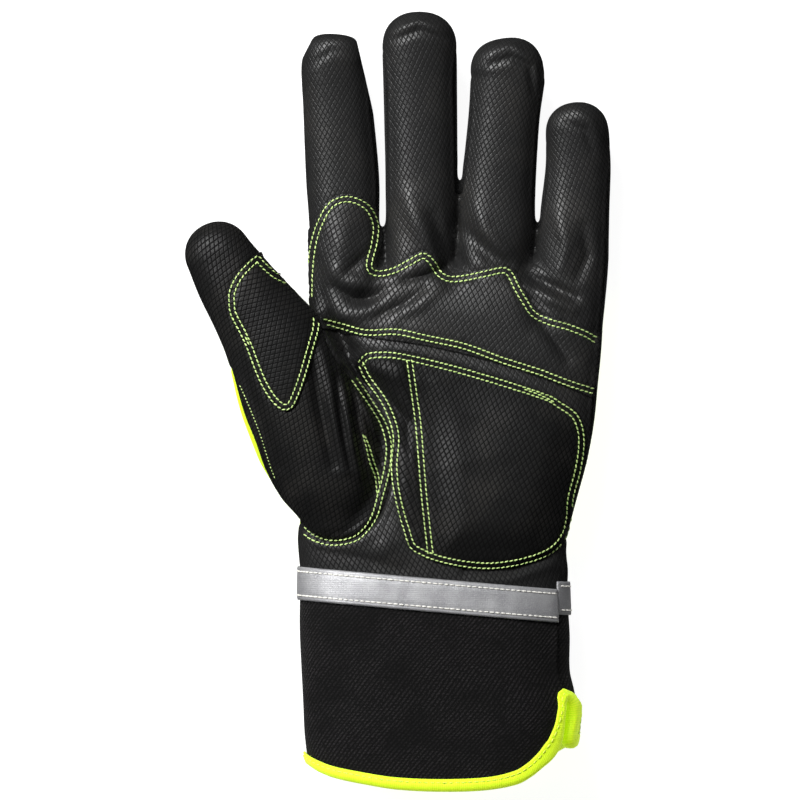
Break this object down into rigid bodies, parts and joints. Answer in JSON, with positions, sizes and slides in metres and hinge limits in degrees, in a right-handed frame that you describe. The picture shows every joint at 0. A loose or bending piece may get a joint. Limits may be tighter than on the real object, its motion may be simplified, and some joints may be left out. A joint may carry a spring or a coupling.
{
  "type": "insulated mechanic glove",
  "caption": "Insulated left-hand mechanic glove lying palm up: stitched leather palm with patches and a heel pad, high-visibility back, reflective wrist tape and a split cuff with a bound edge.",
  "frame": {"origin": "middle of the glove's footprint, on the surface that it lies on", "axes": "+Y from the cuff to the fingertips, +Z from the back of the hand up to the palm, +X from the thumb to the little finger"},
  "size_m": [0.1536, 0.28, 0.0448],
  "materials": {
    "palm_leather": "black synthetic leather with a fine diamond emboss, semi-gloss",
    "black_knit": "matt black stretch knit",
    "hi_vis_fabric": "fluorescent yellow woven polyester, matt",
    "cuff_canvas": "black twill canvas, matt",
    "reflective_tape": "grey retroreflective tape with a soft sheen",
    "edge_binding": "fluorescent yellow-green folded binding, matt"
  },
  "bodies": {
    "root": {"palm_panel": "palm_leather", "upper_palm_patch": "palm_leather", "heel_pad": "palm_leather", "thumb_panel": "palm_leather", "thumb_patch": "palm_leather", "thumb_back": "black_knit", "hand_back": "hi_vis_fabric", "wrist_elastic": "black_knit", "gusset_index_middle": "black_knit", "gusset_middle_ring": "black_knit", "gusset_ring_little": "black_knit", "outer_side_strip": "black_knit", "index_back": "black_knit", "middle_back": "black_knit", "ring_back": "black_knit", "little_back": "black_knit", "cuff_palm": "cuff_canvas", "cuff_back": "cuff_canvas", "cuff_binding": "edge_binding", "tape_palm": "reflective_tape", "tape_back": "reflective_tape"}
  },
  "joints": []
}
